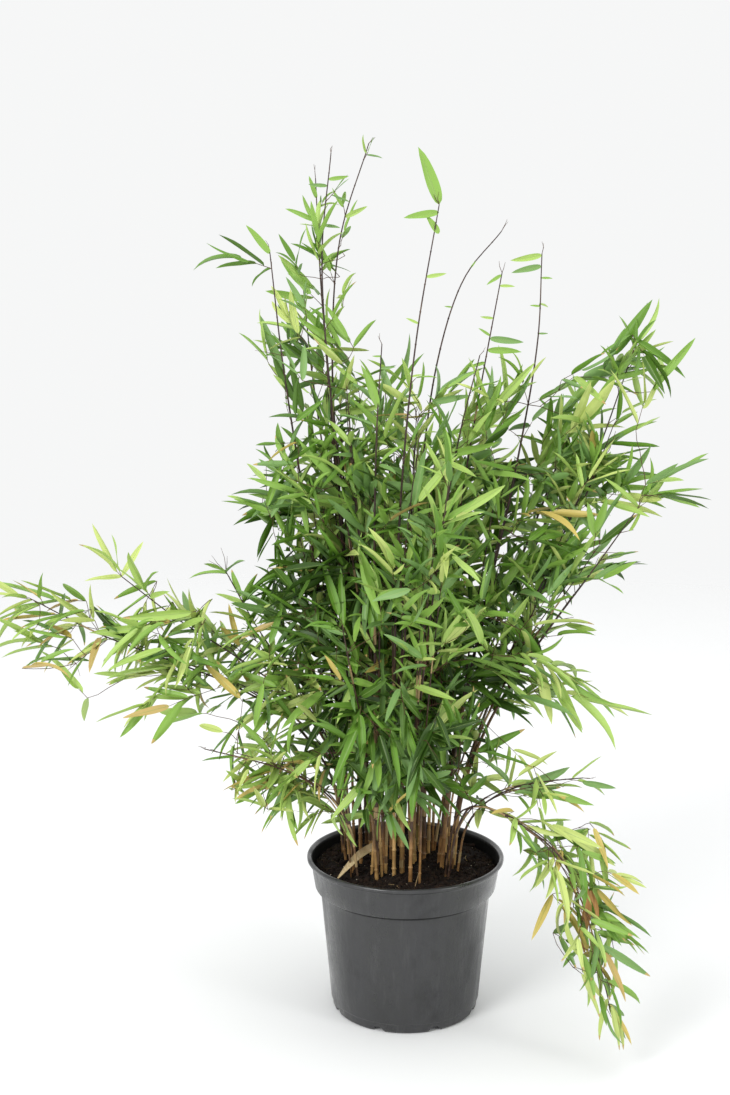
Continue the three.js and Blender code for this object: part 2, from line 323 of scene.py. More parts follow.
class Tree:
    """A Geometry Nodes tree with named inputs; build() runs it once on a plain mesh."""

    def __init__(self, name, **inputs):
        self.group = bpy.data.node_groups.new(name, "GeometryNodeTree")
        sockets = self.group.interface
        sockets.new_socket("Geometry", in_out="INPUT", socket_type="NodeSocketGeometry")
        for label, kind in inputs.items():
            sockets.new_socket(label, in_out="INPUT", socket_type="NodeSocket" + kind)
        sockets.new_socket("Geometry", in_out="OUTPUT", socket_type="NodeSocketGeometry")
        self.given = self.group.nodes.new("NodeGroupInput").outputs
        self.result = self.group.nodes.new("NodeGroupOutput").inputs

    def add(self, kind, inputs=None, **settings):
        return add_node(self.group, "GeometryNode" + kind, inputs, settings)

    def read(self, name, kind):
        node = self.add("InputNamedAttribute", {"Name": name}, data_type=kind)
        return node.outputs["Attribute"]

    def end(self, geometry, smooth=True):
        whole = self.add("RealizeInstances", {"Geometry": geometry}).outputs[0]
        soft = self.add("SetShadeSmooth", {"Geometry": whole, "Shade Smooth": smooth}).outputs[0]
        worn = self.add("SetMaterial", {"Geometry": soft, "Material": self.given["Material"]})
        self.group.links.new(worn.outputs[0], self.result["Geometry"])
        return self

    def build(self, name, mesh, **values):
        start = bpy.data.objects.new(name + "_start", mesh)
        bpy.context.scene.collection.objects.link(start)
        modifier = start.modifiers.new("grow", "NODES")
        modifier.node_group = self.group
        sockets = {s.name: s.identifier for s in self.group.interface.items_tree}
        for label, value in values.items():
            modifier[sockets[label]] = value
        start.update_tag()
        graph = bpy.context.evaluated_depsgraph_get()
        made = bpy.data.meshes.new_from_object(start.evaluated_get(graph), depsgraph=graph)
        bpy.data.objects.remove(start)
        for label in [a.name for a in made.attributes if a.name in CARRIED]:
            made.attributes.remove(made.attributes[label])
        return stand(name, made)


def stand(name, mesh, material=None):
    mesh.name = name
    if material:
        mesh.materials.clear()
        mesh.materials.append(material)
    piece = bpy.data.objects.new(name, mesh)
    bpy.context.scene.collection.objects.link(piece)
    return piece


def limb_tree():
    """Tubes along polylines, as thick at each point as its thick attribute says."""
    tree = Tree("limbs", Sides="Int", Closed="Bool", Material="Material")
    lines = tree.add("MeshToCurve", {"Mesh": tree.given["Geometry"]}).outputs[0]
    ring = tree.add("CurvePrimitiveCircle", {"Resolution": tree.given["Sides"], "Radius": 1.0})
    swept = tree.add(
        "CurveToMesh",
        {
            "Curve": lines,
            "Profile Curve": ring.outputs["Curve"],
            "Scale": tree.read("thick", "FLOAT"),
            "Fill Caps": tree.given["Closed"],
        },
    )
    return tree.end(swept.outputs[0])


def scatter_tree():
    """One of a set of patterns at each point, turned and sized as the point says."""
    tree = Tree("scatter", Patterns="Collection", Smooth="Bool", Material="Material")
    shapes = tree.add(
        "CollectionInfo",
        {"Collection": tree.given["Patterns"], "Separate Children": True, "Reset Children": True},
    )
    placed = tree.add(
        "InstanceOnPoints",
        {
            "Points": tree.given["Geometry"],
            "Instance": shapes.outputs[0],
            "Pick Instance": True,
            "Instance Index": tree.read("pattern", "INT"),
            "Rotation": tree.read("turn", "QUATERNION"),
            "Scale": tree.read("size", "FLOAT_VECTOR"),
        },
    )
    return tree.end(placed.outputs[0], tree.given["Smooth"])


def lines_mesh(lines):
    """A mesh of open polylines from [(points, thicknesses)]."""
    points, edges, thick = [], [], []
    for line, widths in lines:
        first = len(points)
        points += [tuple(p) for p in line]
        thick += [float(w) for w in widths]
        edges += [(first + i, first + i + 1) for i in range(len(line) - 1)]
    mesh = new_mesh("lines", points, edges=edges)
    mesh.attributes.new("thick", "FLOAT", "POINT").data.foreach_set("value", thick)
    return mesh


def tubes(limbs, name, lines, sides, closed, material):
    mesh = lines_mesh(lines)
    return limbs.build(name, mesh, Sides=sides, Closed=closed, Material=material)


def points_mesh(items):
    """A mesh of loose points from [(place, quaternion, size, pattern)]."""
    places, turns, sizes, patterns = zip(*items)
    mesh = new_mesh("points", [tuple(p) for p in places])
    for name, kind, field, values in (
        ("turn", "QUATERNION", "value", np.array([tuple(t) for t in turns], np.float32)),
        ("size", "FLOAT_VECTOR", "vector", np.array([tuple(v) for v in sizes], np.float32)),
        ("pattern", "INT", "value", np.array(patterns, np.int32)),
    ):
        mesh.attributes.new(name, kind, "POINT").data.foreach_set(field, values.ravel())
    return mesh


def scattered(scatter, name, items, patterns, smooth, material):
    values = {"Patterns": patterns, "Smooth": smooth, "Material": material}
    return scatter.build(name, points_mesh(items), **values)


def pattern_set(name, meshes):
    """A collection of shapes for scatter_tree to pick from, in order."""
    patterns = bpy.data.collections.new(name)
    for i, mesh in enumerate(meshes):
        patterns.objects.link(bpy.data.objects.new(f"{name}_{i:02d}", mesh))
    return patterns


# ------------------------------------------------------------------ pot
POT_SIDES = 144
DRAINS = 8
DRAIN_HALF_ANGLE = 0.075
DRAIN_HEIGHT = 5.5
POT_OUTLINE = [  # radius and height in millimetres, from the underside's middle round to inside
    (0, 0), (40, 0), (70, 0), (77, 0), (82.2, 0), (84.2, 0.7), (85, 2.4), (85.6, 9.6),
    (85.9, 10.4), (87.0, 11.0), (87.3, 12.2), (90.2, 46), (94.9, 96), (98.6, 136),
    (99.1, 140.6), (100.0, 143.0), (102.4, 144.6), (104.6, 145.4), (105.6, 147), (107.8, 160),
    (109.9, 173.8), (110.6, 176.6), (112, 177.5), (113.8, 178.0), (114.8, 179.2),
    (115.0, 180.8), (114.4, 182.3), (113, 183), (111.6, 182.9), (110.2, 182.0),
    (109.0, 180.2), (108.2, 174), (103.1, 147.2), (101.2, 144.6), (96.6, 141), (92.2, 96),
    (84.6, 10), (83, 4), (40, 4), (0, 4),
]  # fmt: skip


def make_pot(material):
    vertices = []
    step = 2 * math.pi / DRAINS
    for radius, height in POT_OUTLINE:
        for k in range(POT_SIDES):
            angle = 2 * math.pi * k / POT_SIDES
            off = abs((angle % step) - step / 2)
            z = height
            if 76 < radius < 87 and height < 3:
                arch = max(0.0, 1 - (off / DRAIN_HALF_ANGLE) ** 4)
                z = max(height, arch * DRAIN_HEIGHT)
            wave = 1 + 0.0012 * math.sin(2 * angle + 0.6) * height / 183
            r = radius * wave * MM
            vertices.append((r * math.cos(angle), r * math.sin(angle), z * MM))
    mesh = new_mesh("pot_shell", vertices, bands(0, len(POT_OUTLINE), POT_SIDES))
    tidy(mesh)
    piece = stand("nursery_pot", mesh, material)
    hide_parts("pot")
    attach(piece, "root")


def tidy(mesh):
    """Merges doubled points, drops empty faces and turns every face outwards."""
    bm = bmesh.new()
    bm.from_mesh(mesh)
    bmesh.ops.remove_doubles(bm, verts=bm.verts, dist=1e-6)
    bmesh.ops.dissolve_degenerate(bm, edges=bm.edges, dist=1e-7)
    bmesh.ops.recalc_face_normals(bm, faces=bm.faces)
    for face in bm.faces:
        face.smooth = True
    bm.to_mesh(mesh)
    bm.free()


# ------------------------------------------------------------------ soil
SOIL_LEVEL = 0.1712
SOIL_RADIUS = 0.1062
SOIL_UNDERSIDE = 0.154


def soil_height(x, y):
    p = Vector((x, y, 0))
    rough = 0.0034 * noise.fractal(p * 38, 0.8, 2.2, 5)
    mound = 0.0026 * noise.noise(p * 16)
    edge = max(0.0, math.hypot(x, y) / SOIL_RADIUS - 0.86)
    return SOIL_LEVEL + rough + mound - 0.02 * edge


def make_soil(material):
    rings, sides = 46, 128
    vertices = [(0, 0, soil_height(0, 0))]
    for i in range(1, rings + 1):
        r = SOIL_RADIUS * i / rings
        for k in range(sides):
            angle = 2 * math.pi * (k + 0.5 * (i % 2)) / sides
            x, y = r * math.cos(angle), r * math.sin(angle)
            vertices.append((x, y, soil_height(x, y)))
    rim, low = 1 + (rings - 1) * sides, len(vertices)
    for x, y, _ in vertices[rim:low]:
        vertices.append((x * 0.97, y * 0.97, SOIL_UNDERSIDE))
    pairs = [(k, (k + 1) % sides) for k in range(sides)]
    faces = [(0, 1 + a, 1 + b) for a, b in pairs] + bands(1, rings, sides)
    faces += [(rim + a, low + a, low + b, rim + b) for a, b in pairs]
    faces.append(tuple(range(low, low + sides)))
    mesh = new_mesh("soil_top", vertices, faces)
    tidy(mesh)
    piece = stand("potting_soil", mesh, material)
    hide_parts("soil")
    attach(piece, "root")


CRUMB_ROUGHNESS = 0.35


def lump(seed, length):
    """A small crumb: a coarse ball pushed in and out."""
    bm = bmesh.new()
    bmesh.ops.create_icosphere(bm, subdivisions=1, radius=1)
    for v in bm.verts:
        push = 1 + CRUMB_ROUGHNESS * noise.noise(v.co * 1.6 + Vector((seed * 7.3, 0, 0)))
        v.co = Vector((v.co.x * length, v.co.y, v.co.z * 0.75)) * push
    mesh = bpy.data.meshes.new(f"crumb_{seed}")
    bm.to_mesh(mesh)
    bm.free()
    return mesh


def random_turn(rng):
    axis = shaken(rng, 1).normalized()
    return Matrix.Rotation(rng.uniform(0, 2 * math.pi), 3, axis).to_quaternion()


def on_soil(rng, rim=0.98):
    """A place on the soil within a share of its radius."""
    r = SOIL_RADIUS * rim * math.sqrt(rng.random())
    angle = rng.uniform(0, 2 * math.pi)
    return r * math.cos(angle), r * math.sin(angle)


def make_crumbs(rng, scatter, materials):
    crumbs = pattern_set("crumb", [lump(i, 1 + 0.35 * (i % 3)) for i in range(6)])
    for name, count, small, large, material in (
        ("soil_crumbs", 2600, 0.7, 3.2, materials["crumb"]),
        ("soil_specks", 150, 0.35, 0.9, materials["speck"]),
    ):
        items = []
        for _ in range(count):
            x, y = on_soil(rng)
            size = small + (large - small) * rng.random() ** 2.4
            place = (x, y, soil_height(x, y) + 0.25 * size * MM)
            items.append((place, random_turn(rng), [size * MM] * 3, rng.randrange(6)))
        piece = scattered(scatter, name, items, crumbs, False, material)
        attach(piece, "root")


def make_litter(rng, limbs, materials):
    """Fibres of peat, cut straws and shed husks lying on the soil."""
    fibres = [lying_line(rng, 0.95, (4, 15), (0.12, 0.3)) for _ in range(260)]
    straws = [lying_line(rng, 0.88, (6, 24), (0.25, 0.6)) for _ in range(9)]
    line = [Vector((17, -33, 178)) * MM, Vector((13, -56, 177)) * MM, Vector((9, -79, 174)) * MM]
    straws.append((line, [0.7 * MM, 0.65 * MM, 0.4 * MM]))
    for name, lines, material in (
        ("soil_fibres", fibres, materials["fibre"]),
        ("soil_straws", straws, materials["husk"]),
    ):
        piece = tubes(limbs, name, lines, 4, True, material)
        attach(piece, "root")


def lying_line(rng, rim, lengths, thicknesses):
    """A bent fibre on the soil: its points and its thickness at each."""
    x, y = on_soil(rng, rim)
    length, width = rng.uniform(*lengths), rng.uniform(*thicknesses)
    heading, bend = rng.uniform(0, 2 * math.pi), rng.uniform(-1.2, 1.2)
    lift = rng.uniform(0.2, 1.6)
    line, widths = [], []
    for i in range(6):
        t = i / 5
        angle = heading + bend * t
        z = soil_height(x, y) + (0.4 + lift * math.sin(math.pi * t)) * MM
        line.append((x, y, z))
        widths.append(width * (1 - 0.6 * t) * MM)
        x += math.cos(angle) * length / 5 * MM
        y += math.sin(angle) * length / 5 * MM
        over = math.hypot(x, y) / (SOIL_RADIUS * 0.97)
        if over > 1:
            x, y = x / over, y / over
    return line, widths


# ------------------------------------------------------------------ canes
CANE_FOOT_RADIUS = 2.55 * MM
CANE_TIP_RADIUS = 0.6 * MM
YOUNG_CANES = 5
REACHING = ("arm", "droop")
CANE_NAMES = sorted(n for n in NODES if n.startswith("cane_"))
# The swelling round a joint: how far past it in millimetres, and how thick against the cane.
RING = [(-2.2, 0.98), (-0.9, 1.04), (-0.3, 1.3), (0.4, 1.24), (1.0, 0.95), (3.0, 0.96)]
FIRST_GAP = 22  # between joints at a cane's foot, and higher up, in millimetres
LONGEST_GAP = 54
SAME_RING = 0.008  # points of a packed cane closer than this belong to one ring
HUSK_CHANCES = ((0.3, 0.5), (0.5, 0.3), (9, 0.05))  # how often a joint below a height keeps one
CORE_GROWS, CORE_TOP = 0.3, 0.6  # how far a core cane goes on, and the height it stays below
HUSK_PALE_SHARE = 0.55
CANE_LOOKS = (("straw", "brown", "olive"), (3, 5, 2))  # of standing canes, and how often
YOUNG_FOOT_HEIGHT = 0.1705
CLEAR_SHOOTS = (
    "spire", "middle_left", "leaf_topped", "arching", "slim", "bare", "left_", "right_inner",
)  # fmt: skip


def centreline(node):
    """The middles of a packed cane's rings, in order from its foot."""
    rings = []
    for vertex in NODES[node].data.vertices:
        for ring in rings:
            if (ring[0] / ring[1] - vertex.co).length < SAME_RING:
                ring[0] += vertex.co
                ring[1] += 1
                break
        else:
            rings.append([vertex.co.copy(), 1])
    middles = [total / count for total, count in rings]
    top_down = node.endswith("falling")
    here = (max if top_down else min)(middles, key=lambda p: p.z)
    line = [here]
    middles.remove(here)
    while middles:
        here = min(middles, key=lambda p: (p - line[-1]).length)
        line.append(here)
        middles.remove(here)
    return line


def smooth_line(points):
    """A smooth curve through the points."""
    ends = [2 * points[0] - points[1], *points, 2 * points[-1] - points[-2]]
    fine = []
    for a, b, c, d in zip(ends, ends[1:], ends[2:], ends[3:]):
        for k in range(12):
            t = k / 12
            fine.append(
                0.5 * (2 * b + (c - a) * t + (2 * a - 5 * b + 4 * c - d) * t**2
                       + (3 * b - a - 3 * c + d) * t**3)
            )  # fmt: skip
    fine.append(points[-1])
    lengths = [0.0]
    for p, q in zip(fine, fine[1:]):
        lengths.append(lengths[-1] + (q - p).length)
    return Course(fine, lengths)


class Course:
    """A curve that can be asked for the place and direction at any length along it."""

    def __init__(self, points, lengths):
        self.points = np.array([tuple(p) for p in points])
        self.lengths = np.array(lengths)
        self.length = lengths[-1]

    def place(self, s):
        return Vector([np.interp(s, self.lengths, self.points[:, k]) for k in range(3)])

    def at_height(self, z):
        """The place where a rising cane passes a height."""
        return self.place(float(np.interp(z, self.points[:, 2], self.lengths)))

    def heading(self, s):
        ahead = self.place(min(s + 0.002, self.length)) - self.place(max(s - 0.002, 0))
        return ahead.normalized()


def grown_on(rng, course, reach, top):
    """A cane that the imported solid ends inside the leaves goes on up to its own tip."""
    end, ahead = course.place(course.length), course.heading(course.length)
    lean = Vector((end.x, end.y, 0)).normalized() * 0.22
    points = [course.place(course.length * k / 3) for k in range(4)]
    for k in range(1, 6):
        share = k / 5
        points.append(end + (ahead + lean * share) * reach * share + shaken(rng) * 0.006)
    return smooth_line([p for p in points if p.z < top])


def radius_at(share, foot, tip):
    return foot + (tip - foot) * share**0.9


def cane_shape(rng, course, foot, tip):
    """Polyline points and thicknesses with a swollen ring at every joint."""
    joints, s = [], rng.uniform(6, 16) * MM
    while s < course.length - 6 * MM:
        joints.append(s)
        share = s / course.length
        gap = FIRST_GAP + (LONGEST_GAP - FIRST_GAP) * min(1, 3.2 * share)
        s += gap * (1 - 0.5 * share * share) * rng.uniform(0.82, 1.18) * MM
    marks = {0.0: 1.0, course.length: 0.9}
    for joint in joints:
        for off, swell in RING:
            at = joint + off * MM
            if 0 < at < course.length:
                marks[at] = swell
    s = 0.0
    while s < course.length:
        if min(abs(s - j) for j in (*joints, -1.0)) > 5 * MM:
            marks[s] = 1.0
        s += 11 * MM
    line, widths = [], []
    for s in sorted(marks):
        line.append(course.place(s))
        widths.append(radius_at(s / course.length, foot, tip) * marks[s])
    return line, widths, joints


def side_by_side(rng, course, start, end, apart):
    """A thinner neighbour that keeps a cane company between two shares of its length.

    One that starts above the soil leaves the cane itself, as a strong branch does.
    """
    aside = level(rng.uniform(0, 2 * math.pi)) * apart * rng.uniform(0.5, 0.8)
    aside *= 0 if start else 1
    drift = shaken(rng, 0.4) * apart
    points = []
    for k in range(9):
        t = k / 8
        place = course.place(course.length * (start + (end - start) * t))
        points.append(place + aside * (1 - t) + drift * t**0.7)
    if not start:
        points[0].z = course.place(0).z
    return smooth_line(points)


def plan_canes(rng):
    """Every cane as (name, course, foot radius, tip radius, kind)."""
    plan = []
    for name in CANE_NAMES:
        if name.endswith("falling"):
            continue
        points = centreline(name)
        if name.endswith("rising"):
            points = points[:-1] + centreline(name.replace("rising", "falling"))[1:]
        course = smooth_line(points)
        if "_core_" in name:
            course = grown_on(rng, course, CORE_GROWS, CORE_TOP)
        reaching = any(k in name for k in REACHING)
        foot = CANE_FOOT_RADIUS * (rng.uniform(0.52, 0.66) if reaching else rng.uniform(0.8, 1.08))
        plan.append((name, course, foot, CANE_TIP_RADIUS, "reaching" if reaching else "leading"))
    for name, course, foot, tip, kind in list(plan):
        if "_core_" in name:
            continue
        reaching = kind == "reaching"
        clear = any(word in name for word in CLEAR_SHOOTS)
        for k in range(2 if reaching else 4):
            low = 0.0 if k == 0 else rng.uniform(0.16, 0.3 if reaching else 0.42)
            high = rng.uniform(0.5, 0.7) if clear else rng.uniform(0.72, 0.94)
            beside = side_by_side(rng, course, low, high, 0.014 if reaching else 0.02)
            slim = foot * rng.uniform(0.6, 0.85) * (0.7 if low else 1)
            grown = kind if reaching else "young"
            plan.append((f"{name}_beside_{k}", beside, slim, tip * 0.8, grown))
    for i in range(YOUNG_CANES):
        angle = i * math.pi * (3 - math.sqrt(5)) + rng.uniform(-0.5, 0.9)
        out = math.sqrt((i + 0.5) / YOUNG_CANES) * rng.uniform(0.75, 1.1)
        x, y = math.cos(angle) * out * 0.06 - 0.004, math.sin(angle) * out * 0.056
        foot = Vector((x, y, YOUNG_FOOT_HEIGHT))
        lean = level(angle) * out * rng.uniform(0.04, 0.1)
        tall = rng.uniform(0.28, 0.54)
        points = []
        for k in range(6):
            t = k / 5
            points.append(foot + lean * t**1.5 + UP * tall * t + shaken(rng) * 0.004 * t)
        slim = CANE_FOOT_RADIUS * rng.uniform(0.55, 0.85)
        plan.append((f"young_{i}", smooth_line(points), slim, CANE_TIP_RADIUS, "young"))
    return plan


def make_canes(rng, limbs, materials):
    """All the canes; returns each one's course and joints for the twigs to grow from."""
    lines = {look: [] for look in ("straw", "brown", "olive", "slim")}
    husks, dark_husks, courses = [], [], {}
    for name, course, foot, tip, kind in plan_canes(rng):
        line, widths, joints = cane_shape(rng, course, foot, tip)
        look = "slim" if kind == "reaching" else rng.choices(*CANE_LOOKS)[0]
        rooted = not name.endswith(("beside_1", "beside_2", "beside_3"))
        below = line[0] - UP * (0.012 if rooted else 0.002)
        lines[look].append(([below] + line, [widths[0]] + widths))
        courses[name] = (course, joints, kind)
        for wrap in cane_husks(rng, course, joints, foot, tip):
            (husks if rng.random() < HUSK_PALE_SHARE else dark_husks).append(wrap)
    arms = [n for n in CANE_NAMES if any(k in n for k in REACHING)]
    uprights = [n for n in CANE_NAMES if n not in arms]
    for look, replaced in (("straw", []), ("brown", uprights), ("olive", []), ("slim", arms)):
        piece = tubes(limbs, f"canes_{look}", lines[look], 9, True, materials[look])
        if replaced:
            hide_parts(*replaced)
        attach(piece, "root")
    for name, wraps, material in (
        ("cane_husks_pale", husks, materials["husk"]),
        ("cane_husks_brown", dark_husks, materials["brown_husk"]),
    ):
        piece = tubes(limbs, name, wraps, 8, False, material)
        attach(piece, "root")
    return courses


def cane_husks(rng, course, joints, foot, tip):
    """Papery sheaths that wrap some joints, a little loose at their tops."""
    made = []
    for joint, following in zip(joints, joints[1:]):
        height = course.place(joint).z
        if rng.random() > next(chance for top, chance in HUSK_CHANCES if height < top):
            continue
        radius = radius_at(joint / course.length, foot, tip)
        cover = (following - joint) * rng.uniform(0.3, 0.85)
        line, widths = [], []
        for k in range(7):
            t = k / 6
            line.append(course.place(joint + cover * t))
            widths.append(radius * (1.16 - 0.08 * t) + (0.05 + 0.12 * t * t) * MM)
        made.append((line, widths))
    return made


# ------------------------------------------------------------------ leaves
BLADE_ROWS = 9
BLADE_COLUMNS = 4
SLIMNESS = 0.16  # a leaf's usual width as a share of its length


def blade_half_width(t):
    """Lance shape: quickly full, widest before its middle, then a fine point."""
    return 0.5 * max(math.sin(math.pi * t**0.7), 0.0) ** 0.66


def blade_middle(bend, sway):
    """The leaf's midrib in unit length: it arches down by bend and turns aside by sway."""
    steps = 40
    middle = [Vector((0, 0, 0))]
    for i in range(steps):
        t = (i + 0.5) / steps
        dip, turn = bend * t**1.4, sway * t
        step = Vector((math.cos(dip) * math.cos(turn), math.sin(turn) / SLIMNESS, -math.sin(dip)))
        middle.append(middle[-1] + step / steps)

    def at(t):
        k = min(int(t * steps), steps - 1)
        return middle[k].lerp(middle[k + 1], t * steps - k)

    return at


def blade(bend, sway, fold, twist, start=0.0, end=1.0):
    """A leaf of length 1 and width 1 along +X, folded along its midrib and pointed at both ends.

    start and end cut out one stretch of it.
    """
    middle = blade_middle(bend, sway)
    vertices, rows = [], []
    for i in range(BLADE_ROWS + 1):
        t = start + (end - start) * (i / BLADE_ROWS) ** (1.3 if start == 0 else 1)
        roll = twist * t
        pointed = t < 0.001 or t > 0.999
        row = []
        for j in [0] if pointed else range(BLADE_COLUMNS + 1):
            v = 0.0 if pointed else 2 * j / BLADE_COLUMNS - 1
            half = blade_half_width(t)
            wave = 0.07 * math.sin(8 * t + 2 * v) * v
            y, rise = v * half, (fold * abs(v) + wave) * half * 2 * SLIMNESS
            across = y * math.cos(roll) - rise * math.sin(roll) / SLIMNESS
            lift = y * math.sin(roll) * SLIMNESS + rise * math.cos(roll)
            row.append(len(vertices))
            vertices.append(tuple(middle(t) + Vector((0, across, lift))))
        rows.append(row)
    faces = []
    for low, high in zip(rows, rows[1:]):
        for j in range(BLADE_COLUMNS):
            if len(low) == 1:
                faces.append((low[0], high[j], high[j + 1]))
            elif len(high) == 1:
                faces.append((low[j], high[0], low[j + 1]))
            else:
                faces.append((low[j], high[j], high[j + 1], low[j + 1]))
    return new_mesh("blade", vertices, faces)


def midrib(bend, sway, twist):
    """The pale rib on a leaf's upper side, a narrow strip just above its fold."""
    middle = blade_middle(bend, sway)
    vertices, faces = [], []
    for i in range(BLADE_ROWS):
        t = (i / BLADE_ROWS) ** 1.1
        half = 0.026 * (1 - 0.7 * t)
        roll = twist * t
        for v in (-1, 1):
            across, lift = v * half * math.cos(roll), v * half * math.sin(roll) * SLIMNESS
            vertices.append(tuple(middle(t) + Vector((0, across, lift + 0.0035))))
        if i:
            a = 2 * i
            faces.append((a - 2, a, a + 1, a - 1))
    return new_mesh("rib", vertices, faces)


BLADE_SHAPES = [  # bend, sway, fold, twist
    (0.05, 0.03, 0.3, 0.15), (0.2, -0.06, 0.4, -0.25), (0.12, 0.08, 0.2, 0.45),
    (0.35, -0.03, 0.35, -0.15), (-0.08, -0.06, 0.3, -0.4), (0.25, 0.03, 0.15, 0.7),
    (0.6, 0.05, 0.4, 0.2), (0.9, -0.05, 0.45, -0.3),
]  # fmt: skip
STRAIGHT, ARCHED = [0, 1, 2, 3, 4, 5], [3, 6, 7, 1]
DRY_END = 0.89  # where a leaf's dry tip begins

TINTS = {  # plain base colour of each tint, darkest first
    "deep": (0.03, 0.074, 0.006),
    "shade": (0.063, 0.142, 0.012),
    "mid": (0.12, 0.255, 0.026),
    "cool": (0.165, 0.3, 0.085),
    "fresh": (0.22, 0.385, 0.065),
    "bright": (0.345, 0.5, 0.115),
    "lime": (0.48, 0.575, 0.17),
    "ochre": (0.53, 0.42, 0.11),
    "dry": (0.47, 0.35, 0.12),
}
TINT_ORDER = list(TINTS)


def tint_set(*weights):
    """How often each tint is drawn, the darkest first; a weight of 0 leaves a tint out."""
    return {tint: weight for tint, weight in zip(TINTS, weights) if weight}


# Painted light and shade: the dark set for the hearts and skirts stands in for the shade inside and
# under the crown. The lighter sets for the crown, the outer masses and the reaching boughs stand in
# for the light on them, and the sets for the boughs also hold yellowing leaves.
SHADY = tint_set(3.4, 5, 6.5, 3.2, 3, 0.5, 0.08, 0.2)
GREEN = tint_set(0.8, 2, 5, 4.5, 6, 2, 0.15, 0.15)
CROWN = tint_set(0.2, 0.7, 3.4, 4.6, 7.4, 3.3, 0.35, 0.12)
LIGHT = tint_set(0, 0.3, 1.6, 3.8, 6, 6, 1.5, 0.1)
TURNING_AND_LIT = tint_set(0, 0.1, 0.7, 2.2, 4, 8.5, 4.5, 0.5, 0.05)
WEATHERED_AND_LIT = tint_set(0, 0.4, 1.4, 2.6, 5, 6, 2.2, 0.8, 0.15)

# How a kind of mass is filled: leaves for each litre, leaf length in millimetres, which way the
# sprays point and how loosely, the tints, how far they hang, and the share with dry tips.
Style = namedtuple("Style", "density length aim spread tints droop tipped", defaults=(0.0, 0.06))
STYLES = {  # the first whose word is in the mass's name is used
    "spire_side": Style(150, (56, 80), (-0.95, 0, 0.05), 0.5, LIGHT),
    "spire_tip": Style(112, (34, 58), (-0.1, 0, 1.2), 0.9, LIGHT),
    "spire_crown": Style(98, (46, 72), (-0.2, 0, 0.9), 0.9, LIGHT),
    "fan_tuft": Style(160, (60, 84), (0.85, -0.1, -0.6), 0.6, LIGHT, 0.2, 0.1),
    "fan_heart": Style(115, (50, 76), (0.5, 0, 0.45), 1.0, GREEN),
    "fan_outer": Style(78, (54, 80), (0.75, 0, 0.1), 1.0, LIGHT),
    "fan": Style(92, (52, 80), (0.45, 0, 0.55), 1.1, LIGHT),
    "side_tuft": Style(190, (50, 74), (0.75, -0.2, -0.4), 0.8, TURNING_AND_LIT, 0.2, 0.25),
    "droop_lower": Style(135, (50, 76), (0.3, -0.1, -0.7), 0.8, WEATHERED_AND_LIT, 0.1, 0.5),
    "droop": Style(265, (48, 72), (0.6, -0.2, -0.4), 0.9, WEATHERED_AND_LIT, 0.2, 0.45),
    "arm_tip": Style(130, (46, 70), (-0.6, 0, -0.25), 1.2, TURNING_AND_LIT, 0.1, 0.4),
    "arm": Style(165, (48, 74), (-0.6, 0, -0.25), 1.2, TURNING_AND_LIT, 0.1, 0.4),
    "left_tuft": Style(220, (50, 72), (-0.5, -0.1, -0.6), 0.8, TURNING_AND_LIT, 0.15, 0.3),
    "front_crown": Style(88, (46, 70), (0, 0, 0.5), 1.0, CROWN, 0.05),
    "front_skirt": Style(160, (46, 72), (0, 0, -0.3), 1.0, SHADY, 0.2, 0.15),
    "skirt": Style(180, (48, 74), (0, 0, -0.35), 1.0, SHADY, 0.2, 0.15),
    "heart": Style(140, (46, 72), (0, 0, 0.3), 1.1, SHADY, 0.05),
    "left": Style(118, (48, 76), (-0.3, 0, 0.25), 1.0, GREEN, 0.05),
    "_tip": Style(90, (48, 74), (0.0, 0, 0.8), 0.9, LIGHT),
    "crown": Style(120, (48, 76), (0.0, 0, 0.55), 1.0, CROWN),
}
SHOOT_STANDING = Style(0, (50, 74), (0, 0, 1), 1.0, LIGHT)
SHOOT_REACHING = Style(0, (46, 70), (0, 0, 0), 1.0, TURNING_AND_LIT, 0.15, 0.3)
LEAFY_TIPS = ("upper_arm", "long_arm", "droop", "fan", "lean", "back")
LEAVES_PER_SPRAY = 3.8
LONGEST_TWIG = 0.06
LOWEST_TWIG = 0.074
LOWEST_BUD = 0.208  # height below which no twig leaves a standing cane
OVERSHOOT = 0.014  # how far a spray may stand out of its mass
DEEP = 0.03  # how far inside a mass its leaves are in shade
BARE_BELOW = 0.235  # height up to which a standing cane has no side shoots
LEAFY_FROM = 0.29  # height from which it has many
CLEAR_FROM = 0.708  # height from which a clear shoot stands free of the crown
POT_ZONE = (0.13, 0.2)  # radius and height that no spray starts in
ABOVE_POT = 0.21  # where it starts instead
SPRAY_SIZES = ((2, 3, 4, 5, 6), (1.5, 3, 4, 2.4, 1))  # leaves in a spray and how often
BARE_TWIG_CHANCE = 0.05


def style_of(name):
    return next(style for word, style in STYLES.items() if word in name)


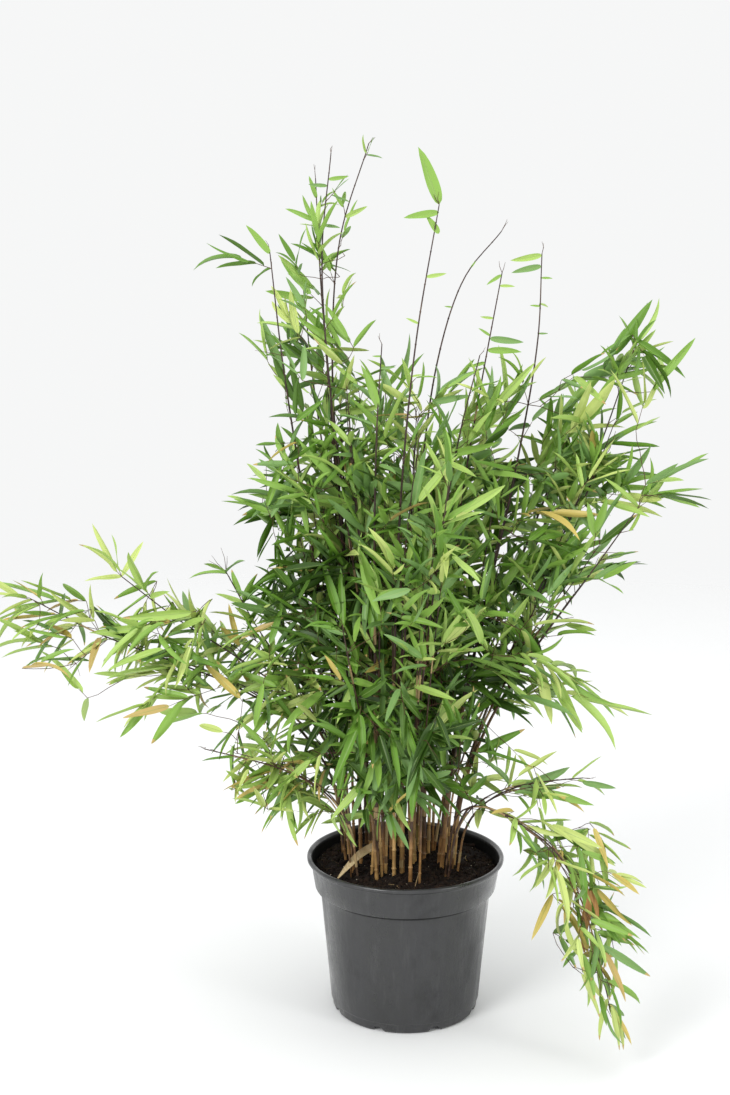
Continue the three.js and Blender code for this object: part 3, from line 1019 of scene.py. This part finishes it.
class Mass:
    """A packed mass of leaves as a space to fill."""

    def __init__(self, name):
        node = NODES[name]
        self.name = name
        self.low, self.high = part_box(name)
        mesh = node.data
        mesh.calc_loop_triangles()
        corners = [v.co.copy() for v in mesh.vertices]
        triangles = [t.vertices for t in mesh.loop_triangles]
        self.tree = BVHTree.FromPolygons(corners, triangles)
        parts = (corners[a].dot(corners[b].cross(corners[c])) / 6 for a, b, c in triangles)
        self.litres = 1000 * abs(sum(parts))

    def depth(self, point):
        """How far inside the mass the point is, and negative outside."""
        place, normal, _, distance = self.tree.find_nearest(point)
        return distance if (point - place).dot(normal) < 0 else -distance

    def spots(self, rng, count):
        """Places spread through the mass, closer together near its skin."""
        made = []
        while len(made) < count:
            best, widest = None, -1.0
            for _ in range(7):
                point = Vector(rng.uniform(a, b) for a, b in zip(self.low, self.high))
                depth = self.depth(point)
                if depth < 0.002 or depth > DEEP and rng.random() < 0.4:
                    continue
                room = min((point - other).length for other in made) if made else 1.0
                if room > widest:
                    best, widest = point, room
            if best:
                made.append(best)
        return made


# Where the sky shows between the boughs: x and height of each opening's middle and its radius in
# millimetres, as seen from the front in the upright plane through the pot's axis, and the share of
# leaves kept.
OPENINGS = [
    (-168, 738, 40, 0.65), (-222, 650, 55, 0.1), (-150, 672, 35, 0.7), (-30, 790, 45, 0.3),
    (35, 790, 45, 0.25), (100, 785, 45, 0.4), (260, 560, 55, 0.4), (180, 765, 35, 0.4),
    (205, 476, 35, 0.2), (175, 322, 45, 0.3), (110, 235, 40, 0.4), (-168, 172, 40, 0.0),
    (-440, 525, 35, 0.4), (15, 90, 105, 0.1), (-100, 130, 65, 0.1), (-240, 312, 45, 0.3),
    (155, 245, 40, 0.6), (-60, 880, 40, 0.6), (-300, 372, 30, 0.6), (262, 24, 34, 0.4),
    (180, 28, 30, 0.6), (225, -20, 35, 0.4), (255, 690, 45, 0.4), (-15, 700, 60, 0.85),
    (310, 565, 40, 0.3), (20, 635, 70, 0.85), (120, 155, 35, 0.45),
]  # fmt: skip


# Places in millimetres where the boughs carry a few sprays more, by the kind of mass.
LOOSE_SPRAYS = [
    ("arm", [(-300, -30, 368), (-270, -50, 374), (-245, -10, 356), (-215, -60, 352)]),
    ("arm_tip", [(-415, -30, 478), (-405, -40, 460), (-420, -30, 446), (-400, -20, 490)]),
    ("droop", [(236, -130, 206), (222, -110, 232), (212, -150, 200), (218, -145, 182),
        (214, -155, 165), (222, -140, 150)]),
    ("droop_lower", [(205, -150, 112), (196, -150, 100)]),
    ("left_tuft", [(-150, -20, 290), (-165, 0, 275), (-180, -30, 300), (-135, -50, 270),
        (-200, -10, 310)]),
    ("heart", [(-75, -40, 430), (-95, 20, 410), (-60, -70, 400)]),
    ("skirt", [(-85, -30, 330), (-70, 30, 290)]),
    ("fan", [(245, 0, 628), (252, 30, 612), (238, -30, 622)]),
    ("front_skirt", [(52, -70, 300), (66, -40, 312), (40, -60, 285), (-75, -60, 300),
        (-50, -80, 315)]),
    ("arm_tip", [(-300, -10, 478)]),
    ("arm", [(-268, 0, 462), (-190, -20, 452), (-205, 20, 425)]),
    ("fan", [(178, 0, 728), (192, 30, 712), (240, 10, 780), (215, -20, 665), (235, 0, 650),
        (222, 30, 680), (210, -40, 640), (225, 10, 660), (200, 40, 650), (165, -30, 590),
        (180, 20, 600), (150, 0, 575)]),
    ("heart", [(-80, -20, 385), (-92, 20, 345)]),
    ("skirt", [(-70, -50, 315), (-95, 0, 305), (-62, 45, 350), (-85, 60, 310), (-100, -40, 350)]),
    ("heart", [(-110, 20, 375)]),
    ("arm", [(-150, -30, 335), (-165, 0, 318), (-140, 20, 345)]),
    ("skirt", [(108, -30, 385)]),
    ("heart", [(120, 0, 400)]),
    ("skirt", [(95, 30, 360), (88, -50, 340), (112, -40, 372), (98, 0, 395)]),
]  # fmt: skip

# The small leaves on the clear shoots: height, which way each points (aside and up), length in
# millimetres.
SHOOT_LEAVES = {
    "cane_leaf_topped": [(0.847, 1, 0.15, 22), (0.798, -1, 0.45, 15), (0.742, 1, 0.2, 12)],
    "cane_arching": [(0.858, 0.6, 0.8, 10), (0.815, -1, 0.1, 9)],
    "cane_slim_right": [
        (0.850, -1, -0.6, 20), (0.838, 1, 0, 17), (0.803, -1, 0.1, 15), (0.784, -0.6, 0.4, 16),
        (0.781, 1, -0.12, 38), (0.768, 1, 0, 38), (0.755, -1, -0.3, 20),
    ],
    "cane_bare_right": [
        (0.872, -1, -0.2, 36), (0.860, -1, -0.2, 35), (0.847, 1, 0, 13), (0.816, -1, 0.1, 12),
        (0.786, 1, 0, 11),
    ],
    "cane_spire_middle": [(0.952, 1, 0.1, 23), (0.945, -1, 0.05, 21), (0.903, 1, -0.1, 19)],
    "cane_spire_left": [(0.934, -0.35, 1, 26)],
    "cane_spire_right": [(0.913, 1, 0.45, 28)],
    "cane_middle_left": [(0.708, -0.33, 1, 50), (0.750, 1, 0.1, 17), (0.763, -1, 0, 10)],
    "cane_left_edge": [(0.872, -0.6, 0.75, 40)],
    "cane_left_inner": [(0.838, -0.63, 0.78, 43), (0.823, -1, 0.25, 46)],
}  # fmt: skip


def kept_share(place):
    """The share of leaves kept on the line of sight through a place."""
    eye = Vector(CAMERA_PLACE)
    seen = eye.lerp(place, -eye.y / (place.y - eye.y))
    shares = [1.0]
    for x, z, radius, kept in OPENINGS:
        if math.hypot(seen.x - x / 1000, seen.z - z / 1000) < radius / 1000:
            shares.append(kept)
    return min(shares)


class Growth:
    """The twigs and leaves, grown out from the canes."""

    def __init__(self, rng, courses):
        self.rng = rng
        self.places, self.headings = [], []
        for course, joints, _ in courses.values():
            for s in [s for s in joints if course.place(s).z > LOWEST_BUD] + [course.length]:
                self.places.append(tuple(course.place(s)))
                self.headings.append(tuple(course.heading(s)))
        self.twigs = []
        self.leaves = {tint: [] for tint in TINTS}
        self.tipped = {tint: [] for tint in TINTS}
        self.low = [c + m for c, m in zip(CAD_BOX[0], (-0.008, -0.01, 0.006))]
        self.high = [c + 0.008 for c in CAD_BOX[1]]

    def loose(self, amount):
        return Vector(self.rng.gauss(0, amount) for _ in range(3))

    def aim(self, place, style):
        """Which way a spray points: out from the middle, up when high, and its style's way."""
        out = unit(outward(place), 0.02, (0, 0, 0))
        climb = max(-0.45, min(0.5, (place.z - 0.42) * 1.7))
        loose = self.loose(style.spread * 0.55)
        return (Vector(style.aim) + out * 0.4 + UP * climb * 0.5 + loose).normalized()

    def kept_in(self, place, along, length):
        """Turns a leaf that would pass the plant's own outer size until its tip stays inside."""
        along = along.copy()
        for k in range(3):
            low, high = (self.low[k] - place[k]) / length, (self.high[k] - place[k]) / length
            share = max(-1.0, min(1.0, min(max(along[k], low), high)))
            if share == along[k]:
                continue
            along[k] = 0
            if along.length < 0.15:
                along = UP * (1 if place.z < 0.3 or place.z > 0.7 and k < 2 else -1)
                along[k] = 0
            along = along.normalized() * math.sqrt(1 - share * share)
            along[k] = share
        return along

    def inside(self, place):
        """Moves a place that lies outside the plant's own size just inside it."""
        low = [c + 0.004 for c in CAD_BOX[0][:2]] + [LOWEST_TWIG]
        return Vector(min(max(place[k], low[k]), CAD_BOX[1][k] - 0.004) for k in range(3))

    def joint(self, base, ahead):
        """The cane joint or twig point that a new twig leaves from: near, below and behind it."""
        gap = np.array(tuple(base)) - np.array(self.places)
        distance = np.linalg.norm(gap, axis=1)
        above = np.maximum(0, -gap[:, 2])
        facing = (gap @ np.array(tuple(ahead))) / np.maximum(distance, 1e-6)
        cost = distance * (1.3 - 0.5 * facing) + 0.8 * above + 0.5 * (distance < 0.01)
        return int(cost.argmin())

    def twig(self, base, ahead):
        """Grows a thin twig towards base that arrives pointing ahead, and returns its end."""
        index = self.joint(base, ahead)
        start, heading = Vector(self.places[index]), Vector(self.headings[index])
        distance = (base - start).length
        if distance > LONGEST_TWIG:
            base = start + (base - start) * (LONGEST_TWIG / distance)
            distance = LONGEST_TWIG
        way = (base - start).normalized()
        leave = start + (heading * 0.3 + way).normalized() * distance * 0.3
        arrive = base - (ahead * 0.5 + way).normalized() * distance * 0.25
        line, widths = [], []
        steps = max(3, min(9, int(distance / 0.012)))
        thick = 0.34 + 2.6 * min(distance, 0.18)
        for k in range(steps + 1):
            t = k / steps
            u = 1 - t
            p = u**3 * start + 3 * u * u * t * leave + 3 * u * t * t * arrive + t**3 * base
            if 0 < k < steps:
                p = p + self.loose(0.0004)
            line.append(p)
            widths.append((thick * u + 0.34 * t) * MM)
        self.twigs.append((line, widths))
        for k in range(1, steps + 1):
            self.places.append(tuple(line[k]))
            self.headings.append(tuple((line[k] - line[k - 1]).normalized()))
        return base

    def leaf(self, place, along, tint, length, droop=0.0, tipped=False):
        """Hangs one leaf at a place, its upper side roughly up and outwards."""
        rng = self.rng
        place = self.inside(place)
        along = self.kept_in(place, along, length)
        if rng.random() > kept_share(place + along * length * 0.7):
            return
        upper = UP * 0.75 + outward(place).normalized() * 0.45 + self.loose(0.5)
        turn = turned(along, unit(upper.cross(along), 0.05))
        width = length * rng.uniform(0.118, 0.168) * (1.2 if length < 0.045 else 1)
        shape = rng.choice(STRAIGHT if rng.random() > 0.18 + droop else ARCHED)
        store = self.tipped if tipped else self.leaves
        store[tint].append((place, turn, (length, width, length), shape))

    def tint(self, style, depth):
        names = list(style.tints)
        weights = [style.tints[n] for n in names]
        # Painted shade: deep inside a mass, the two darkest tints are drawn three times as often and
        # the rest less often.
        if depth > DEEP:
            weights = [w * (3 if n in ("deep", "shade") else 0.6) for n, w in zip(names, weights)]
        return self.rng.choices(names, weights)[0]

    def near(self, tint):
        """Now and then a leaf is one tint lighter or darker than the rest of its spray."""
        step = self.rng.choices((-1, 0, 1), (1, 2.6, 1))[0]
        index = min(max(TINT_ORDER.index(tint) + step, 0), TINT_ORDER.index("lime"))
        return tint if tint in ("ochre", "dry") else TINT_ORDER[index]

    def fingers(self, base, ahead, length, number, style, tint):
        """A stalk with its leaves set alternately and opening like fingers."""
        rng = self.rng
        stalk = rng.uniform(0.1, 0.13) * (number - 1) * length
        across = unit(ahead.cross(UP + self.loose(0.4)), 0.1)
        tipped = rng.random() < style.tipped
        line, widths = [], []
        hand = rng.choice((-1, 1))
        for k in range(number):
            t = k / max(number - 1, 1)
            place = base + ahead * stalk * t - UP * 0.012 * t * t * style.droop
            line.append(place)
            widths.append((0.42 - 0.16 * t) * MM)
            opening = (1 - t) * rng.uniform(0.5, 1.0) + rng.uniform(0.02, 0.3)
            along = ahead * math.cos(opening) + across * hand * math.sin(opening)
            along = (along + self.loose(0.14) - UP * style.droop * 0.5).normalized()
            size = length * rng.uniform(0.7, 1.1) * (0.8 if k == 0 and number > 3 else 1)
            colour = self.near(tint)
            if rng.random() < style.tipped * 0.1:
                colour = rng.choice(("ochre", "dry"))
            self.leaf(place, along, colour, size, style.droop, tipped and rng.random() < 0.7)
            hand = -hand
        if number > 1:
            self.twigs.append((line, widths))

    def spray(self, centre, style, mass):
        """One twig with its leaves round a place, hardly standing out of the mass's skin."""
        rng = self.rng
        ahead = self.aim(centre, style)
        length = rng.uniform(*style.length) * MM
        base = centre - ahead * length * 0.55
        past = -mass.depth(base + ahead * length * 1.2) - OVERSHOOT if mass else 0
        if past > 0:
            base -= ahead * min(past, 0.6 * length)
        if base.z < POT_ZONE[1] and math.hypot(base.x, base.y) < POT_ZONE[0]:
            base.z = ABOVE_POT
        base = self.inside(base)
        base = self.twig(base, ahead)
        number = rng.choices(*SPRAY_SIZES)[0]
        depth = mass.depth(centre) if mass else 0
        self.fingers(base, ahead, length, number, style, self.tint(style, depth))

    def fill(self, mass):
        style = style_of(mass.name)
        sprays = max(1, round(style.density * mass.litres / LEAVES_PER_SPRAY))
        spots = mass.spots(self.rng, sprays)
        places = np.array(self.places)
        spots.sort(key=lambda p: float(np.linalg.norm(places - np.array(tuple(p)), axis=1).min()))
        for spot in spots:
            if self.rng.random() > kept_share(spot):
                continue
            if self.rng.random() < BARE_TWIG_CHANCE:
                self.bare_twig(spot, self.aim(spot, style))
            self.spray(spot, style, mass)

    def sprig(self, start, along, reach, widths, loose=0.001):
        """A short twig of three points, a little bent in its middle; returns its end."""
        end = start + along * reach
        self.twigs.append(
            ([start, start + along * reach * 0.5 + self.loose(loose), end], [w * MM for w in widths])
        )
        return end

    def bare_twig(self, base, ahead):
        """A leafless twig that ends in a few bare forks."""
        base = self.twig(base, ahead)
        for _ in range(self.rng.choice((1, 2, 3))):
            along = (ahead + self.loose(0.35)).normalized()
            self.sprig(base, along, self.rng.uniform(12, 34) * MM, (0.36, 0.28, 0.15))

    def top_leaf(self, mass, course):
        """One large leaf that carries a shoot's tip on upwards, and two smaller ones."""
        foot = course.place(course.length)
        along = Vector((-0.33, 0.0, 0.944))
        length = (mass.high.z - foot.z) / along.z
        self.faced_leaf(foot, along, length, 0.0142)
        smaller = ((0.008, (-1, 0, -0.13), 38, 8), (0.03, (-0.55, 0, 0.8), 23, 7.5))
        for down, aside, size, wide in smaller:
            self.faced_leaf(foot - UP * down, Vector(aside).normalized(), size * MM, wide * MM)

    def faced_leaf(self, place, along, length, width, tint="fresh", shape=0):
        """A leaf that shows its broad side to the front."""
        turn = turned(along, Vector((0.25, -1, 0.1)).cross(along).normalized())
        self.leaves[tint].append((place, turn, (length, width, length), shape))

    def small_leaves(self, courses):
        """The few small leaves on the clear shoots, each at its own height."""
        for name, spots in SHOOT_LEAVES.items():
            course = courses[name][0]
            for height, aside, rise, length in spots:
                place = course.at_height(height)
                along = Vector((aside, -0.15, rise)).normalized()
                tint = self.rng.choice(("cool", "fresh", "fresh", "bright"))
                width = length * 0.2 * MM
                self.faced_leaf(place, along, length * MM, width, tint, self.rng.choice((0, 1, 2)))

    def dress(self, course, joints, kind, name):
        """Short side shoots with a few leaves at a cane's joints, smaller towards its tip."""
        rng = self.rng
        shoot = any(word in name for word in CLEAR_SHOOTS)
        thin = shoot and "spire" not in name
        style = SHOOT_REACHING if kind == "reaching" else SHOOT_STANDING
        azimuth = rng.uniform(0, 2 * math.pi)
        for s in joints:
            place, heading, share = course.place(s), course.heading(s), s / course.length
            azimuth += math.pi + rng.uniform(-0.7, 0.7)
            clear = thin and place.z > CLEAR_FROM
            low = kind != "reaching" and place.z < LEAFY_FROM
            chance = 0.12 if clear else 0.7 if shoot else 0.85
            if low:
                chance = 0 if place.z < BARE_BELOW else 0.4 if abs(place.x) > 0.045 else 0.12
            elif share < 0.3:
                chance = 0
            if rng.random() > chance:
                continue
            side = Matrix.Rotation(azimuth, 3, heading) @ heading.orthogonal().normalized()
            ahead = (heading * rng.uniform(0.7, 1.3) + side).normalized()
            if low:
                out = Vector((place.x, place.y, 0)).normalized()
                ahead = (out + side * 0.6 + UP * rng.uniform(-0.4, 0.6)).normalized()
            fine = 1 - 0.72 * max(0, share - 0.7) / 0.3 if shoot else 1 - 0.3 * share
            if clear:
                fine = 0.42
            length = rng.uniform(52, 76) * fine * MM
            reach = rng.uniform(4, 26) * fine * MM
            base = self.sprig(place, ahead, reach, (0.5, 0.42, 0.34), 0.0004)
            number = rng.choices((1, 2, 3, 4), (2, 3, 2, 0.6) if shoot else (1, 3, 3, 1.5))[0]
            number = 1 if clear else number
            self.fingers(base, ahead, length, number, style, self.tint(style, 0))
        self.finish_tip(course, name, style)

    def finish_tip(self, course, name, style):
        """A cane's tip: a bare fork on a clear shoot, a hand of leaves on the others."""
        rng = self.rng
        end, heading = course.place(course.length), course.heading(course.length)
        if any(word in name for word in LEAFY_TIPS):
            for _ in range(2):
                lift = -0.2 if "droop" in name else 0.5
                ahead = (heading + UP * lift + self.loose(0.45)).normalized()
                self.fingers(end, ahead, rng.uniform(44, 66) * MM, 3, style, self.tint(style, 0))
            return
        bushy = "short_arm" in name
        for _ in range(4 if bushy else 2):
            reach = rng.uniform(6, 16) * MM * (2.2 if bushy else 1)
            along = self.kept_in(end, (heading + self.loose(0.3)).normalized(), reach)
            self.sprig(end, along, reach, (0.4, 0.3, 0.16))


def make_growth(rng, courses, limbs, scatter, materials):
    growth = Growth(rng, courses)
    masses = [Mass(n) for n in sorted(NODES) if n.startswith("leaves_")]
    for name, (course, joints, kind) in courses.items():
        growth.dress(course, joints, kind, name)
    for mass in masses:
        if "topmost" in mass.name:
            growth.top_leaf(mass, courses["cane_leaf_topped"][0])
        elif "arching_tip" not in mass.name:
            growth.fill(mass)
    for word, places in LOOSE_SPRAYS:
        for place in places:
            growth.spray(Vector(c / 1000 for c in place), style_of(word), None)
    growth.small_leaves(courses)

    twigs = tubes(limbs, "twigs", growth.twigs, 5, True, materials["twig"])
    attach(twigs, "root")

    whole = pattern_set("blade", [blade(*shape) for shape in BLADE_SHAPES])
    bodies = pattern_set("body", [blade(*shape, end=DRY_END) for shape in BLADE_SHAPES])
    ends = pattern_set("end", [blade(*shape, start=DRY_END) for shape in BLADE_SHAPES])
    ribs = pattern_set("rib", [midrib(bend, sway, twist) for bend, sway, _, twist in BLADE_SHAPES])
    plain = [i for items in growth.leaves.values() for i in items]
    tipped = [i for items in growth.tipped.values() for i in items]
    jobs = [(f"leaves_{tint}", growth.leaves[tint], whole, tint) for tint in TINTS]
    jobs += [(f"leaves_{tint}_tipped", growth.tipped[tint], bodies, tint) for tint in TINTS]
    jobs += [("leaf_tips_dry", tipped, ends, "dry"), ("leaf_midribs", plain + tipped, ribs, "rib")]
    for name, items, patterns, look in jobs:
        if items:
            piece = scattered(scatter, name, items, patterns, True, materials[look])
            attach(piece, "root")
    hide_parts(*[m.name for m in masses])


# Withered leaves: one has fallen against the canes, two hang dead from the drooping cane.
# Each is the points along it in millimetres, the way it faces, its width, roll and curl.
FALLEN = [
    ([(-23, -9, 197), (-38, -17, 197), (-55, -33, 192), (-67, -46, 184), (-78, -58, 175)],
     (0.5, -0.6, 0.6), 8.5, 0.4, 0.5),
]  # fmt: skip
DEAD = [
    ([(189, -149, 204), (191, -152, 180), (188, -153, 152), (190, -150, 127)],
     (0.2, -1, 0), 9, 0.6, 0.6),
    ([(196, -146, 196), (201, -150, 178), (203, -150, 158)], (-0.3, -1, 0), 5, -0.9, 0.9),
]  # fmt: skip


def withered_leaf(points, facing, width, roll, curl, vertices, faces):
    """Adds one dry leaf: a narrow trough along a line, rolling as it goes."""
    course = smooth_line([Vector(p) * MM for p in points])
    rows, columns = 14, 4
    first = len(vertices)
    for i in range(rows + 1):
        t = i / rows
        place, ahead = course.place(course.length * t), course.heading(course.length * t)
        side = Matrix.Rotation(roll * t, 3, ahead) @ ahead.cross(Vector(facing)).normalized()
        up = side.cross(ahead)
        half = width * MM * (0.04 + blade_half_width(min(max(t, 0.02), 0.98)))
        for j in range(columns + 1):
            v = 2 * j / columns - 1
            wave = 0.12 * math.sin(11 * t + 3 * v)
            vertices.append(tuple(place + side * v * half + up * half * (curl * v * v + wave)))
    for i in range(rows):
        for j in range(columns):
            a = first + i * (columns + 1) + j
            faces.append((a, a + columns + 1, a + columns + 2, a + 1))


def make_withered(materials):
    for name, leaves, look in (
        ("fallen_leaf", FALLEN, "straw_leaf"),
        ("dead_leaves", DEAD, "brown_leaf"),
    ):
        vertices, faces = [], []
        for points, facing, width, roll, curl in leaves:
            withered_leaf(points, facing, width, roll, curl, vertices, faces)
        mesh = new_mesh(name, vertices, faces)
        mesh.shade_smooth()
        piece = stand(name, mesh, materials[look])
        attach(piece, "root")


# ------------------------------------------------------------------ the scene
FLOOR_RADIUS = 9
SEED = 11


def make_floor():
    bm = bmesh.new()
    bmesh.ops.create_circle(bm, cap_ends=True, segments=96, radius=FLOOR_RADIUS)
    mesh = bpy.data.meshes.new("floor")
    bm.to_mesh(mesh)
    bm.free()
    material = principled("floor_paint", (0.86, 0.865, 0.87), 0.7, 0.2)
    s = Shading(material)
    away = s.add("VectorMath", {0: s.place()}, operation="LENGTH").outputs["Value"]
    far = s.span(away, 0.3, 5.0)
    # Painted shade: the floor is darker round the plant and grows lighter far off, close to the
    # white of the world.
    greys = [(0, (0.83, 0.835, 0.84)), (0.45, (0.905, 0.91, 0.912)), (1, (0.93, 0.933, 0.934))]
    shade = s.ramp(far, greys)
    cloud = s.ramp(s.noise(s.place(), 1.5, 3), [(0.3, 0.985), (0.7, 1.0)])
    s.drive("Base Color", s.blend(1.0, shade, cloud, "MULTIPLY"))
    s.drive("Alpha", s.ramp(far, [(0.3, (1, 1, 1)), (0.62, (0, 0, 0))]))
    floor = stand("floor", mesh, material)
    floor.location.z = -0.0005


def main():
    rng = random.Random(SEED)
    set_camera()
    set_studio()
    make_floor()
    materials = {
        "pot": pot_plastic(),
        "soil": compost("potting_mix", (0.0045, 0.0026, 0.0019), (0.022, 0.012, 0.0075)),
        "crumb": compost("crumb_mix", (0.006, 0.0033, 0.0023), (0.05, 0.026, 0.015)),
        "speck": principled("pale_grit", (0.42, 0.36, 0.28), 0.8, 0.3),
        "fibre": husk("peat_fibre", (0.12, 0.07, 0.035), (0.03, 0.017, 0.01)),
        "husk": husk("papery_husk", (0.47, 0.35, 0.18), (0.24, 0.15, 0.065)),
        "brown_husk": husk("brown_husk", (0.2, 0.12, 0.06), (0.08, 0.045, 0.025)),
        "straw": cane_skin("straw_cane", (0.62, 0.38, 0.14), (0.2, 0.11, 0.045), DARK_TOP, 0.3),
        "brown": cane_skin("brown_cane", (0.38, 0.2, 0.07), (0.09, 0.045, 0.023), DARK_TOP, 0.22),
        "olive": cane_skin("olive_cane", (0.24, 0.19, 0.055), (0.11, 0.085, 0.03), DARK_TOP, 0.35),
        "slim": cane_skin("slim_cane", (0.3, 0.16, 0.06), (0.07, 0.035, 0.022), DARK_TOP, 0.12),
        "twig": husk("twig_skin", (0.12, 0.06, 0.03), (0.04, 0.018, 0.013)),
        "straw_leaf": husk("straw_leaf", (0.66, 0.53, 0.32), (0.4, 0.29, 0.15)),
        "brown_leaf": husk("brown_leaf", (0.56, 0.34, 0.13), (0.3, 0.13, 0.045)),
        "rib": principled("leaf_rib", (0.25, 0.36, 0.1), 0.5, 0.35),
    }
    for tint, colour in TINTS.items():
        materials[tint] = principled(f"leaf_{tint}", colour, 0.45, 0.4)
    limbs, scatter = limb_tree(), scatter_tree()

    make_pot(materials["pot"])
    make_soil(materials["soil"])
    make_crumbs(rng, scatter, materials)
    make_litter(rng, limbs, materials)
    courses = make_canes(rng, limbs, materials)
    make_growth(rng, courses, limbs, scatter, materials)
    make_withered(materials)


main()
